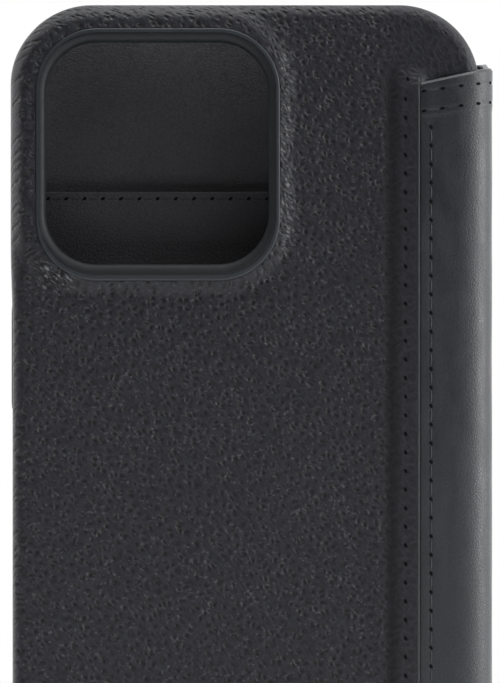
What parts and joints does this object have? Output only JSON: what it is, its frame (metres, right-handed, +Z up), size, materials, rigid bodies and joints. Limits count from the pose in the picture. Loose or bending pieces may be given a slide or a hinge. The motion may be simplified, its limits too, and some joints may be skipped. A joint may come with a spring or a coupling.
{
  "type": "phone wallet case",
  "caption": "Leather folio wallet case for a phone, with a camera opening, a folding spine and cover, and card pockets inside.",
  "frame": {"origin": "centre of the closed case's bottom, where it stands upright", "axes": "+Z up towards the camera end, -Y out of the camera side, +Y out of the front cover, +X towards the spine"},
  "size_m": [0.078, 0.0198, 0.1508],
  "materials": {
    "pebbled_leather": "pebbled, satin",
    "smooth_leather": "smooth, satin",
    "pocket_leather": "fine grain, satin",
    "moulded_black": "matt",
    "moulded_rim": "satin",
    "button_cap": "satin",
    "microfibre": "short nap",
    "foam": "matt",
    "fibreboard": "raw",
    "magnet_nickel": "plated"
  },
  "bodies": {
    "tray": {"tray_shell": "moulded_black", "back_leather": "pebbled_leather", "camera_rim": "moulded_rim", "camera_pad": "foam", "tray_lining": "microfibre", "spine_flap": "smooth_leather"},
    "spine": {"spine_leather": "smooth_leather", "spine_lining": "microfibre"},
    "cover": {"cover_leather": "smooth_leather", "cover_board": "fibreboard", "closure_magnet_upper": "magnet_nickel", "closure_magnet_lower": "magnet_nickel", "cover_lining": "microfibre", "cash_pocket": "pocket_leather", "card_pocket_outer": "pocket_leather", "card_pocket_middle": "pocket_leather", "card_pocket_inner": "pocket_leather"},
    "power_cap": {"power_button": "button_cap"},
    "volume_up_cap": {"volume_up_button": "button_cap"},
    "volume_down_cap": {"volume_down_button": "button_cap"}
  },
  "joints": [
    {"name": "spine_fold", "type": "hinge", "parent": "tray", "child": "spine", "pos_m": [0.03825, -0.0091, 0.0754], "axis": [0, 0, -1], "range_deg": [0, 180]},
    {"name": "cover_fold", "type": "hinge", "parent": "spine", "child": "cover", "pos_m": [0.03825, 0.0091, 0.0754], "axis": [0, 0, -1], "range_deg": [0, 180]},
    {"name": "power_press", "type": "slide", "parent": "tray", "child": "power_cap", "axis": [1, 0, 0], "range_m": [0, 0.00035], "stiffness_N_per_m": 2500},
    {"name": "volume_up_press", "type": "slide", "parent": "tray", "child": "volume_up_cap", "axis": [-1, 0, 0], "range_m": [0, 0.00035], "stiffness_N_per_m": 2500},
    {"name": "volume_down_press", "type": "slide", "parent": "tray", "child": "volume_down_cap", "axis": [-1, 0, 0], "range_m": [0, 0.00035], "stiffness_N_per_m": 2500}
  ]
}
